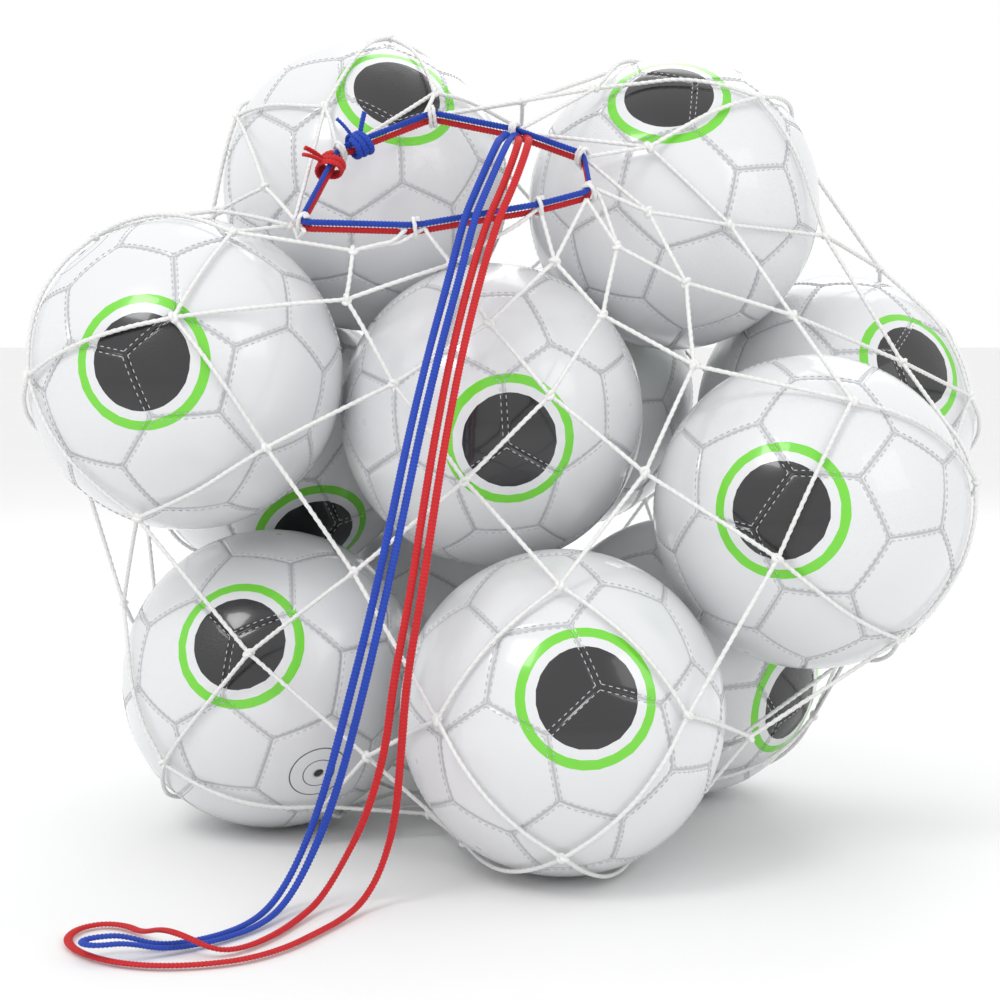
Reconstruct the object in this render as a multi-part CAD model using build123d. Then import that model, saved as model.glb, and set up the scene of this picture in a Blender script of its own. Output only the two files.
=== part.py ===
from build123d import *

import math
import os

import numpy as np

# A knotted mesh carry bag, filled with twelve footballs, standing on the floor with its mouth drawn in.
# Millimetres, +Z up, the bag's front (the side its drawcords hang down) towards -Y, the origin on the
# floor under the middle of the load.

# ---------------------------------------------------------------- driving dimensions
BALL_R = 110.0  # a full-size football
COVER_WALL = 2.4  # sewn panels with their backing
BLADDER_WALL = 0.6
LAYER_GAP = 0.3  # between cover and bladder, and round the valve
BALL_GAP = 1.0  # between two balls that lean on each other
VALVE_R = 3.4
VALVE_FLANGE_R = 8.0
VALVE_FLANGE_T = 1.5
VALVE_LENGTH = 14.0

TWINE_R = 1.75  # net twine, 3.5 mm thick
KNOT_R = 4.5
COLUMNS = 12  # meshes round the bag
ROWS = 11  # bars from the mouth to the bottom gather
BAR_LENGTH = 118.0  # knot to knot, pulled straight
BAR_PIECES = 4  # straight stretches that a bar is worked out in
BAR_STANDOFF = TWINE_R + 1.4  # twine's middle to the ball's skin, with room for the chord of a stretch
KNOT_STANDOFF = KNOT_R + 0.4

CORD_R = 2.8  # drawcord: as thick as the real flat braid, 5.6 x 3.2 mm, is wide
CORD_SPLIT = 3.2  # each drawcord lies this far from the mouth's own plane
LOOP_R = 8.2  # middle radius of a net loop round both drawcords
LOOP_SPLIT = 6.0  # half the distance between two meshes that share a corner
CORNER_R = 5.0  # bend of the drawcords in a mouth corner
BEAD_R = 11.0  # knot that ties a drawcord's two ends
BEAD_BORE = 6.6  # both drawcords run through it
BEAD_AWAY = 15.0  # from the corner to the knot's middle
TAIL_R = 2.4

GATHER_R = 19.2  # flat lashing that closes the bottom of the net
GATHER_HEIGHT = 7.0
GATHER_RING_R = 24.0  # where the last knots sit round it

# Balls, from the floor up: where each one lies before the load has settled.
BALLS = {
    "ball_01": (20, -180, BALL_R),
    "ball_02": (-190, -50, BALL_R),
    "ball_03": (120, 50, BALL_R),
    "ball_04": (-65, 175, BALL_R),
    "ball_05": (195, -120, 240),
    "ball_06": (-200, 105, 275),
    "ball_07": (245, 85, 300),
    "ball_08": (-30, -60, 305),
    "ball_09": (30, 165, 310),
    "ball_10": (-240, -105, 335),
    "ball_11": (110, 20, 460),
    "ball_12": (-125, 45, 475),
}
# Which way each valve points: degrees round from +X, degrees above the horizon.
VALVES = {
    "ball_01": (120, -35),
    "ball_02": (-65, -28),
    "ball_03": (60, 40),
    "ball_04": (100, 20),
    "ball_05": (30, -50),
    "ball_06": (170, 10),
    "ball_07": (10, -20),
    "ball_08": (140, 30),
    "ball_09": (80, 35),
    "ball_10": (200, 50),
    "ball_11": (45, 60),
    "ball_12": (110, 25),
}
SETTLE_STEPS = 400

# The mouth: a flat ring that faces the front and leans back, with a corner wherever net loops pull on it.
MOUTH = (-37.0, -121.0, 472.0)
MOUTH_TILT = 48.0  # degrees from the horizontal
# name: (across, up the slope, loops that share the corner), going round from the front
CORNERS = {
    "front_left": (-42, -51, 2),
    "left": (-120, -48, 2),
    "knot": (-97, 23, 1),
    "back": (-33, 60, 2),
    "exit": (25, 43, 1),
    "right_back": (73, 18, 1),
    "right": (77, -18, 2),
    "front_right": (42, -31, 1),
}
GATHER = (-25.0, 15.0)  # middle of the bottom gather

# ---------------------------------------------------------------- the load and the mouth


def settle(rough):
    """Push balls that overlap apart, keeping the floor layer on the floor."""
    names = list(rough)
    centres = np.array([rough[name] for name in names], float)
    on_floor = centres[:, 2] <= BALL_R
    for _ in range(SETTLE_STEPS):
        for i in range(len(names)):
            for j in range(i + 1, len(names)):
                apart = centres[j] - centres[i]
                distance = np.linalg.norm(apart)
                push = (2 * BALL_R + BALL_GAP - distance) / 2
                if push > 0:
                    centres[i] -= apart / distance * push
                    centres[j] += apart / distance * push
        centres[on_floor, 2] = BALL_R
    return {name: centre for name, centre in zip(names, centres)}


def mouth_point(across, up, out=0.0):
    """A point of the mouth's plane: across to the right, up its slope, and out of it, away from the load."""
    tilt = math.radians(MOUTH_TILT)
    return np.array(
        [
            MOUTH[0] + across,
            MOUTH[1] + up * math.cos(tilt) - out * math.sin(tilt),
            MOUTH[2] + up * math.sin(tilt) + out * math.cos(tilt),
        ]
    )


def sides_of(name):
    """The ways into and out of a corner, and the corner itself, in the mouth's plane."""
    names = list(CORNERS)
    at = names.index(name)
    before, here, after = (np.array(CORNERS[names[(at + i) % len(names)]][:2], float) for i in (-1, 0, 1))
    into = (here - before) / np.linalg.norm(here - before)
    away = (after - here) / np.linalg.norm(after - here)
    return into, here, away


def corner_tangent(name):
    """The way the drawcords run through a corner, half way between its two sides."""
    before, _, after = sides_of(name)
    along = before + after
    return along / np.linalg.norm(along)


def loop_middle(name):
    """Middle of a corner's loop, on the bend of the drawcords."""
    before, here, after = sides_of(name)
    turn = math.acos(max(-1.0, min(1.0, float(before @ after))))
    inward = (after - before) / max(np.linalg.norm(after - before), 1e-9)
    return mouth_point(*(here + inward * CORNER_R * (1 / math.cos(turn / 2) - 1)))


def bead_middle(side):
    """Middle of the cord knot that lies from the knot corner towards another corner."""
    here, there = (np.array(CORNERS[name][:2], float) for name in ("knot", side))
    return mouth_point(*(here + (there - here) / np.linalg.norm(there - here) * BEAD_AWAY))


def meshes_of(name):
    """Where the net's meshes of a corner start, as (across, up) places in the mouth's plane."""
    across, up, count = CORNERS[name]
    along = corner_tangent(name)
    places = [0.0] if count == 1 else [-LOOP_SPLIT, LOOP_SPLIT]
    return [(across + along[0] * s, up + along[1] * s) for s in places]


# ---------------------------------------------------------------- the net


class Net:
    """The net's knots and bars, laid over the load and drawn tight between the mouth and the gather."""

    STEPS = 1500
    PULL = 0.08
    START_CLEARANCE = 25.0
    LOAD_MIDDLE = np.array([0.0, 0.0, 250.0])
    FOOT_KNOT = 47.0
    FOOT_BAR = 37.0
    MOUTH_GAP = 1.0  # to the drawcords, loops and cord knots of the mouth

    def __init__(self, balls):
        self.balls = np.array(list(balls.values()))
        self.feet = self.balls[self.balls[:, 2] <= BALL_R + 1]
        self.mouth = [mouth_point(*place) for name in CORNERS for place in meshes_of(name)]
        self.ring = np.array([mouth_point(*place[:2]) for place in CORNERS.values()])
        self.lumps = [(loop_middle(name), LOOP_R + TWINE_R) for name in CORNERS]
        self.lumps += [(bead_middle(side), BEAD_R) for side in ("back", "left")]
        self.lay_out()
        self.draw_tight()

    def over_load(self, direction):
        """The outermost point of the load in a direction from its middle, with room to spare."""
        to_balls = self.balls - self.LOAD_MIDDLE
        along = to_balls @ direction
        reach = BALL_R + self.START_CLEARANCE
        inside = along**2 - (to_balls**2).sum(axis=1) + reach**2
        far = np.where(inside > 0, along + np.sqrt(np.maximum(inside, 0)), 0).max()
        return self.LOAD_MIDDLE + direction * max(far, 150.0)

    def lay_out(self):
        """First places: columns of knots from the mouth to the gather, and the bars between them."""
        top = np.array(MOUTH) - self.LOAD_MIDDLE
        bottom = np.array([*GATHER, 0.0]) - self.LOAD_MIDDLE
        axis = top / np.linalg.norm(top) - bottom / np.linalg.norm(bottom)
        axis /= np.linalg.norm(axis)
        side = self.mouth[0] - np.array(MOUTH)
        side -= axis * (axis @ side)
        side /= np.linalg.norm(side)
        other = np.cross(axis, side)
        if (self.mouth[3] - np.array(MOUTH)) @ other < 0:
            other = -other
        points = []
        self.knots = {}
        for row in range(ROWS + 1):
            for column in range(COLUMNS):
                turn = 2 * math.pi * (column + 0.5 * (row % 2)) / COLUMNS
                outward = math.cos(turn) * side + math.sin(turn) * other
                if row == 0:
                    place = self.mouth[column]
                elif row == ROWS:
                    flat = outward[:2] / np.linalg.norm(outward[:2])
                    place = np.array([*(np.array(GATHER) + flat * GATHER_RING_R), KNOT_R + 0.1])
                else:
                    fall = math.pi * row / ROWS
                    place = self.over_load(math.cos(fall) * axis + math.sin(fall) * outward)
                self.knots[row, column] = len(points)
                points.append(place)
        self.spread_last_row(points)
        self.bars = {}
        for row in range(ROWS):
            for column in range(COLUMNS):
                for lean in (0, -1 if row % 2 == 0 else 1):
                    ends = ((row, column), (row + 1, (column + lean) % COLUMNS))
                    first, last = (self.knots[end] for end in ends)
                    inner = []
                    for step in range(1, BAR_PIECES):
                        share = step / BAR_PIECES
                        place = points[first] * (1 - share) + points[last] * share
                        away = place - self.LOAD_MIDDLE
                        if 0 < row < ROWS - 1:
                            place = self.over_load(away / np.linalg.norm(away))
                        inner.append(len(points))
                        points.append(place)
                    self.bars[ends] = [first, *inner, last]
        self.points = np.array(points, float)

    def spread_last_row(self, points):
        """The last knots, evenly round the gather, starting below the first column."""
        first = points[self.knots[ROWS, 0]][:2] - np.array(GATHER)
        second = points[self.knots[ROWS, 1]][:2] - np.array(GATHER)
        way = 1 if first[0] * second[1] - first[1] * second[0] > 0 else -1
        start = math.atan2(first[1], first[0])
        for column in range(COLUMNS):
            turn = start + way * 2 * math.pi * column / COLUMNS
            place = np.array([math.cos(turn), math.sin(turn)]) * GATHER_RING_R + np.array(GATHER)
            points[self.knots[ROWS, column]] = np.array([*place, KNOT_R + 0.1])

    def from_mouth(self, points):
        """For each point and each part of the mouth: the way out of that part, and the gap to its surface."""
        ways = []
        gaps = []
        for start, end in zip(self.ring, np.roll(self.ring, -1, axis=0)):
            side = end - start
            share = np.clip((points - start) @ side / (side @ side), 0.0, 1.0)
            ways.append(points - start - share[:, None] * side)
            gaps.append(np.linalg.norm(ways[-1], axis=1) - CORD_SPLIT - CORD_R)
        for middle, radius in self.lumps:
            ways.append(points - middle)
            gaps.append(np.linalg.norm(ways[-1], axis=1) - radius)
        return ways, gaps

    def push_off_mouth(self, room):
        """Move the points that are too near the drawcords, loops and cord knots straight away from them."""
        for way, gap in zip(*self.from_mouth(self.points)):
            short = np.maximum(room - gap, 0.0)
            self.points += way / (np.linalg.norm(way, axis=1) + 1e-9)[:, None] * short[:, None]

    def draw_tight(self):
        """Shorten every bar a little at a time, off the balls and the floor, until the net lies still."""
        chains = np.array(list(self.bars.values()))
        links = np.concatenate([chains[:, i : i + 2] for i in range(BAR_PIECES)])
        count = np.bincount(links.ravel(), minlength=len(self.points))
        is_knot = np.zeros(len(self.points), bool)
        is_knot[list(self.knots.values())] = True
        held = np.zeros(len(self.points), bool)
        held[[self.knots[row, column] for row in (0, ROWS) for column in range(COLUMNS)]] = True
        resting = self.points[held].copy()
        standoff = np.where(is_knot, KNOT_STANDOFF, BAR_STANDOFF)
        lowest = np.where(is_knot, KNOT_R + 0.1, TWINE_R + 0.05)
        foot = np.where(is_knot, self.FOOT_KNOT, self.FOOT_BAR)
        link_length = BAR_LENGTH / BAR_PIECES
        for _ in range(self.STEPS):
            along = self.points[links[:, 1]] - self.points[links[:, 0]]
            length = np.linalg.norm(along, axis=1) + 1e-9
            pull = np.maximum(length - link_length, 0) + self.PULL * np.minimum(length, link_length)
            move = along / length[:, None] * (pull * 0.5)[:, None]
            total = np.zeros_like(self.points)
            np.add.at(total, links[:, 0], move)
            np.add.at(total, links[:, 1], -move)
            self.points += 1.6 * total / count[:, None]
            self.push_off_mouth(np.where(is_knot, KNOT_R, TWINE_R) + self.MOUTH_GAP)
            for ball in self.balls:
                out = self.points - ball
                distance = np.linalg.norm(out, axis=1)
                inside = distance < BALL_R + standoff
                reach = (BALL_R + standoff[inside]) / distance[inside]
                self.points[inside] = ball + out[inside] * reach[:, None]
            self.points[:, 2] = np.maximum(self.points[:, 2], lowest)
            for ball in self.feet:
                out = self.points[:, :2] - ball[:2]
                distance = np.linalg.norm(out, axis=1)
                under = (distance < foot) & (self.points[:, 2] < 14.0)
                self.points[under, :2] = ball[:2] + out[under] * (foot[under] / distance[under])[:, None]
            self.points[held] = resting

    def trimmed(self, ends):
        """A bar's points, cut back at both ends to leave room for the other bars of each knot."""
        path = [self.points[i] for i in self.bars[ends]]
        for end, reverse in ((ends[0], False), (ends[1], True)):
            path = path[::-1] if reverse else path
            room = 0.78 * KNOT_R
            mine = path[1] - path[0]
            if end[0] == 0:
                shares = np.linspace(0.0, 0.9, 91)
                gaps = np.min(self.from_mouth(path[0] + shares[:, None] * mine)[1], axis=0)
                room = np.linalg.norm(mine) * shares[gaps < TWINE_R + 0.6 * self.MOUTH_GAP].max(initial=0.0)
            for other_ends, chain in self.bars.items():
                if other_ends != ends and end in other_ends:
                    chain = chain if other_ends[0] == end else chain[::-1]
                    theirs = self.points[chain[1]] - self.points[chain[0]]
                    between = mine @ theirs / np.linalg.norm(mine) / np.linalg.norm(theirs)
                    half = math.acos(max(-1.0, min(1.0, between))) / 2
                    room = max(room, (TWINE_R + 0.15) / max(math.sin(half), 0.08))
            room = min(room, 0.9 * np.linalg.norm(mine))
            path[0] = path[0] + mine / np.linalg.norm(mine) * room
            path = path[::-1] if reverse else path
        return path


# ---------------------------------------------------------------- shapes


def tube(points, radius, closed=False):
    """A round tube along straight runs joined by arcs, each as large as its two runs allow.

    Gives the solid, the smallest bend, and how far its volume is from section times length.
    """
    points = [Vector(*map(float, p)) for p in points]
    if len(points) == 2:
        path = Line(*points)
        bends = []
    elif closed:
        path = FilletPolyline(*points, radius=CORNER_R, close=True)
        bends = [CORNER_R]
    else:
        bends = []
        for before, at, after in zip(points, points[1:], points[2:]):
            turn = math.radians((at - before).get_angle(after - at))
            run = min((at - before).length, (after - at).length)
            bends.append(0.45 * run / math.tan(turn / 2))
        path = FilletPolyline(*points, radius=bends)
    start = Plane(origin=path @ 0, z_dir=path % 0)
    solid = sweep(start * Circle(radius), path=path)
    ratio = solid.volume / (math.pi * radius**2 * path.length)
    return solid, min(bends, default=math.inf), ratio, path.length


def without_straight_points(points, least=1.5):
    """The path's points, less those where it turns by under the least angle, in degrees."""
    kept = [points[0]]
    for at, after in zip(points[1:], points[2:]):
        turn = Vector(*(at - kept[-1])).get_angle(Vector(*(after - at)))
        if turn > least:
            kept.append(at)
    return kept + [points[-1]]


def towards(azimuth, height):
    """The unit direction at an angle round from +X and an angle above the horizon, in degrees."""
    a, h = math.radians(azimuth), math.radians(height)
    return Vector(math.cos(h) * math.cos(a), math.cos(h) * math.sin(a), math.sin(h))


def shell(centre, outer, wall):
    """A hollow ball."""
    return Pos(*centre) * (Sphere(outer) - Sphere(outer - wall))


def football(centre, valve_way):
    """A ball's three pieces: sewn cover, bladder inside it, and the valve through both."""
    bladder_r = BALL_R - COVER_WALL - LAYER_GAP
    inner_r = bladder_r - BLADDER_WALL
    seat = Plane(origin=Vector(*centre), z_dir=valve_way)

    def stem(radius, low, high):
        return seat * Pos(0, 0, (low + high) / 2) * Cylinder(radius, high - low)

    hole = stem(VALVE_R + LAYER_GAP, inner_r - 5, BALL_R + 5)
    top = BALL_R - 0.4
    flange_top = inner_r - LAYER_GAP - VALVE_FLANGE_R**2 / (2 * inner_r)
    valve = stem(VALVE_R, top - VALVE_LENGTH, top)
    valve += stem(VALVE_FLANGE_R, flange_top - VALVE_FLANGE_T, flange_top)
    return {
        "cover": shell(centre, BALL_R, COVER_WALL) - hole,
        "bladder": shell(centre, bladder_r, BLADDER_WALL) - hole,
        "valve": valve,
    }


def corner_loop(name):
    """The net's own twine round both drawcords, in one corner of the mouth."""
    way = mouth_point(*corner_tangent(name)) - mouth_point(0, 0)
    return Plane(origin=Vector(*loop_middle(name)), z_dir=Vector(*way)) * Torus(LOOP_R, TWINE_R)


def cord_knot(side, tails):
    """One drawcord's knot: a bead beside the knot corner, round both cords, with cut tails."""
    centre = bead_middle(side)
    way = centre - mouth_point(*CORNERS["knot"][:2])
    frame = Plane(origin=Vector(*centre), z_dir=Vector(*way))
    bead = frame * (Sphere(BEAD_R) - Cylinder(BEAD_BORE, 4 * BEAD_R))
    for tail in tails:
        tip = centre + mouth_point(*tail) - mouth_point(0, 0)
        reach = tip - centre
        root = centre + reach / np.linalg.norm(reach) * (BEAD_BORE + BEAD_R) / 2
        bead += tube([root, tip], TAIL_R)[0]
    return bead


def drawcord_ring(out):
    """One drawcord where it runs round the mouth, this far out of the mouth's plane."""
    corners = [mouth_point(across, up, out) for across, up, _ in CORNERS.values()]
    return tube(corners, CORD_R, closed=True)


# ---------------------------------------------------------------- the pulled-out ends of the drawcords
# Each drawcord comes out of the mouth doubled, falls down the front of the load, lies on the floor and turns
# back on itself: down one side, round the end, and up the other.
BLUE_ROUTE = [
    (-22, -104, 498), (-23, -117, 496), (-29, -134, 482), (-38, -151, 460), (-46, -167, 440),
    (-55, -191, 402), (-68, -221, 352), (-80, -246, 299), (-90, -264, 248), (-102, -277, 192),
    (-117, -276, 134), (-132, -268, 78), (-148, -259, 34), (-162, -274, 9), (-174, -305, 3),
    (-194, -335, 3), (-223, -355, 4), (-243, -360, 12), (-256, -362, 12), (-265, -368, 12),
    (-264, -377, 12), (-254, -380, 12), (-239, -374, 12), (-218, -363, 4), (-188, -340, 3),
    (-167, -309, 3), (-155, -279, 9), (-141, -265, 34), (-124, -269, 78), (-109, -277, 134),
    (-95, -278, 192), (-83, -265, 248), (-73, -248, 299), (-61, -223, 352), (-48, -193, 402),
    (-39, -169, 440), (-31, -154, 460), (-22, -136, 482), (-16, -119, 496), (-15, -105, 498),
]  # fmt: skip
RED_ROUTE = [
    (-9, -105, 498), (-9, -118, 496), (-13, -135, 482), (-21, -152, 460), (-30, -166, 440),
    (-41, -190, 403), (-53, -219, 353), (-63, -244, 300), (-71, -263, 249), (-78, -278, 200),
    (-88, -280, 150), (-94, -272, 102), (-107, -264, 58), (-123, -261, 26), (-136, -273, 7),
    (-147, -300, 3), (-158, -331, 3), (-173, -356, 3), (-188, -367, 5), (-205, -366, 13),
    (-222, -350, 13), (-238, -329, 4), (-250, -312, 3), (-266, -307, 3), (-279, -317, 3),
    (-282, -336, 3), (-275, -355, 3), (-260, -372, 3), (-240, -384, 3), (-217, -389, 3),
    (-192, -386, 3), (-168, -376, 3), (-148, -355, 3), (-133, -327, 3), (-119, -298, 3),
    (-108, -274, 7), (-97, -263, 25), (-88, -266, 58), (-84, -274, 102), (-80, -281, 150),
    (-71, -279, 200), (-64, -265, 249), (-56, -246, 300), (-46, -221, 353), (-34, -192, 403),
    (-23, -168, 440), (-14, -154, 460), (-6, -136, 482), (-2, -118, 496), (-2, -105, 498),
]  # fmt: skip


# ---------------------------------------------------------------- build
def write(node, shape):
    """Write one node's solids."""
    export_step(shape, f"parts/{node}.step")


def main():
    os.makedirs("parts", exist_ok=True)
    balls = settle(BALLS)
    for name, centre in balls.items():
        for piece, shape in football(centre, towards(*VALVES[name])).items():
            write(f"{name}_{piece}", shape)

    net = Net(balls)
    courses = {"net_mouth_bars": (0, 0)}
    courses.update({f"net_bars_{low:02d}_{low + 1:02d}": (low, low + 1) for low in range(1, ROWS, 2)})
    for node, (low, high) in courses.items():
        bars = []
        for ends in net.bars:
            if low <= ends[0][0] <= high:
                bars.append(tube(without_straight_points(net.trimmed(ends)), TWINE_R)[0])
        write(node, Compound(children=bars))
    middle_row = ROWS // 2
    halves = {"upper": range(1, middle_row + 1), "lower": range(middle_row + 1, ROWS + 1)}
    for half, rows in halves.items():
        knots = [Pos(*net.points[i]) * Sphere(KNOT_R) for (row, _), i in net.knots.items() if row in rows]
        write(f"net_knots_{half}", Compound(children=knots))
    gather = Pos(*GATHER, GATHER_HEIGHT / 2) * Cylinder(GATHER_R, GATHER_HEIGHT)
    write("net_bottom_gather", fillet(gather.edges().sort_by(Axis.Z)[-1], 2.5))

    for name in CORNERS:
        write(f"mouth_loop_{name}", corner_loop(name))
    write("drawcord_knot_blue", cord_knot("back", [(5, 16, 20), (-14, 10, 19)]))
    write("drawcord_knot_red", cord_knot("left", [(-17, 4, 18), (-12, -12, 19)]))
    for colour, out, route in (("blue", CORD_SPLIT, BLUE_ROUTE), ("red", -CORD_SPLIT, RED_ROUTE)):
        ring, bend, ratio, length = drawcord_ring(out)
        print(f"{colour} drawcord, round the mouth: {length:.0f} mm, bend {bend:.1f} mm, volume {ratio:.4f}")
        write(f"drawcord_ring_{colour}", ring)
        bight, bend, ratio, length = tube(route, CORD_R)
        print(f"{colour} drawcord, pulled out: {length:.0f} mm, bend {bend:.1f} mm, volume {ratio:.4f}")
        write(f"drawcord_bight_{colour}", bight)


main()
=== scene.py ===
"""A knotted mesh bag of footballs, its mouth drawn in by a blue and a red drawcord."""

import logging
import math
from dataclasses import dataclass, field
from enum import Enum

import bmesh
import bpy
import numpy as np
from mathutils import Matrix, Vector


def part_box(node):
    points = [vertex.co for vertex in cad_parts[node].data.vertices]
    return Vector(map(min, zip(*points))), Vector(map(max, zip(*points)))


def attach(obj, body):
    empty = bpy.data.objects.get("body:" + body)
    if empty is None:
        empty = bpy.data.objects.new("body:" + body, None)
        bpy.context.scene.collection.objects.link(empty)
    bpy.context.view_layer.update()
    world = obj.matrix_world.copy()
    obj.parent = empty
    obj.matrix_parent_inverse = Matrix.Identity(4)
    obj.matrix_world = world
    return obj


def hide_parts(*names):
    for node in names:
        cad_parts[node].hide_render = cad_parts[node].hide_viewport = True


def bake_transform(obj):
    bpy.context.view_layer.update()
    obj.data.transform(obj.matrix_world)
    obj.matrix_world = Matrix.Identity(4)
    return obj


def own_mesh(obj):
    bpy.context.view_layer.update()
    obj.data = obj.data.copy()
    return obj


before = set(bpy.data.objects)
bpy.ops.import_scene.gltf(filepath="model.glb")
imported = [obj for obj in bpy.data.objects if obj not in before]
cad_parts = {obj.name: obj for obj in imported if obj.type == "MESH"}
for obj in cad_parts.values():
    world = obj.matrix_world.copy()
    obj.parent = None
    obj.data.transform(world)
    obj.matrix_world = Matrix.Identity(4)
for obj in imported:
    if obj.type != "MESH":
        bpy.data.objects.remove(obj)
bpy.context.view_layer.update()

LOG = logging.getLogger("ball_bag")
MM = 0.001
BALLS = [f"ball_{i:02d}" for i in range(1, 13)]


# ---------------------------------------------------------------- node graphs


class Socket:
    """A node's output that reads like a number in an expression."""

    def __init__(self, graph: "Graph", output: bpy.types.NodeSocket) -> None:
        """Wrap one output of a graph."""
        self.graph = graph
        self.output = output

    def _math(self, operation: str, *values: object) -> "Socket":
        """Add a Math node on these values."""
        inputs = dict(enumerate(values))
        return self.graph.node("ShaderNodeMath", {"operation": operation}, inputs)

    def __add__(self, other: object) -> "Socket":
        """Sum."""
        return self._math("ADD", self, other)

    def __sub__(self, other: object) -> "Socket":
        """Difference."""
        return self._math("SUBTRACT", self, other)

    def __rsub__(self, other: object) -> "Socket":
        """Difference, with the socket second."""
        return self._math("SUBTRACT", other, self)

    def __mul__(self, other: object) -> "Socket":
        """Product."""
        return self._math("MULTIPLY", self, other)

    def __gt__(self, other: object) -> "Socket":
        """1 where the socket is larger."""
        return self._math("GREATER_THAN", self, other)

    def __lt__(self, other: object) -> "Socket":
        """1 where the socket is smaller."""
        return self._math("LESS_THAN", self, other)

    def __abs__(self) -> "Socket":
        """Size without sign."""
        return self._math("ABSOLUTE", self)

    def sine(self) -> "Socket":
        """Sine."""
        return self._math("SINE", self)

    def either(self, other: "Socket") -> "Socket":
        """The larger of two masks."""
        return self._math("MAXIMUM", self, other)

    __radd__ = __add__
    __rmul__ = __mul__


class Graph:
    """A node tree with one way to add nodes."""

    def __init__(self, tree: bpy.types.NodeTree) -> None:
        """Work on this tree."""
        self.tree = tree

    def node(self, kind: str, settings: dict, inputs: dict, out: object = 0) -> Socket:
        """Add a node.

        Args:
            kind: the node's type.
            settings: its properties, set first.
            inputs: values or sockets, by input name or number.
            out: which output to give back.

        Returns:
            The chosen output.
        """
        made = self.tree.nodes.new(kind)
        for name, value in settings.items():
            setattr(made, name, value)
        for name, value in inputs.items():
            if isinstance(value, Socket):
                self.tree.links.new(value.output, made.inputs[name])
            else:
                made.inputs[name].default_value = value
        return Socket(self, made.outputs[out])

    def mix(self, share: object, low: object, high: object) -> Socket:
        """Blend two colours by a mask."""
        settings = {"data_type": "RGBA"}
        return self.node("ShaderNodeMix", settings, {0: share, 6: low, 7: high}, 2)


class MaterialGraph(Graph):
    """A material with one Principled shader."""

    def __init__(self, name: str, constants: dict) -> None:
        """Start a material whose shader has these fixed values.

        Args:
            name: the material's name.
            constants: the shader's fixed values, by socket.
        """
        self.material = bpy.data.materials.new(name)
        self.material.use_nodes = True
        super().__init__(self.material.node_tree)
        self.shader = self.tree.nodes["Principled BSDF"]
        for socket, value in constants.items():
            self.shader.inputs[socket].default_value = value

    def feed(self, socket: str, value: Socket) -> None:
        """Link a varying value to the shader."""
        self.tree.links.new(value.output, self.shader.inputs[socket])

    def bump(self, height: Socket, distance: float, strength: float = 0.6) -> None:
        """Raise the surface by a height, in metres."""
        inputs = {"Height": height, "Distance": distance, "Strength": strength}
        self.feed("Normal", self.node("ShaderNodeBump", {}, inputs))

    def place(self) -> Socket:
        """Object coordinates."""
        return self.node("ShaderNodeTexCoord", {}, {}, "Object")

    def noise(self, where: Socket, scale: float, detail: float = 2.0) -> Socket:
        """Smooth noise, from 0 to 1."""
        inputs = {"Vector": where, "Scale": scale, "Detail": detail}
        return self.node("ShaderNodeTexNoise", {}, inputs)


@dataclass(frozen=True)
class FibreFinish:
    """Braided or twisted fibre: soft, with fine strands that run across it."""

    name: str
    light: tuple
    dark: tuple
    roughness: float = 0.75
    sheen: float = 0.25

    def build(self) -> bpy.types.Material:
        """Make the material.

        Returns:
            The material.
        """
        fixed = {"Roughness": self.roughness, "Sheen Weight": self.sheen}
        g = MaterialGraph(self.name, fixed)
        place = g.place()
        blotch = g.noise(place, 60.0)
        fibre = g.noise(place, 1400.0, 4.0)
        # Painted shade: the colour is pulled towards the dark one in the dips between a braid's ribs,
        # which the groove attribute marks; blotch and fibre give random tone.
        groove = g.node("ShaderNodeAttribute", {"attribute_name": "groove"}, {}, 2)
        shade = (blotch * 0.45 + fibre * 0.55) * (1 - groove * 0.85)
        g.feed("Base Color", g.mix(shade, self.dark, self.light))
        g.bump(fibre, 0.0006)
        return g.material


@dataclass(frozen=True)
class RubberFinish:
    """Dull moulded rubber."""

    name: str
    colour: tuple = (0.02, 0.02, 0.022, 1)

    def build(self) -> bpy.types.Material:
        """Make the material.

        Returns:
            The material.
        """
        g = MaterialGraph(self.name, {})
        grain = g.noise(g.place(), 900.0, 3.0)
        lighter = tuple(2.2 * c for c in self.colour[:3]) + (1,)
        g.feed("Base Color", g.mix(grain, self.colour, lighter))
        g.feed("Roughness", grain * 0.2 + 0.5)
        g.bump(grain, 0.0003)
        return g.material


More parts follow.
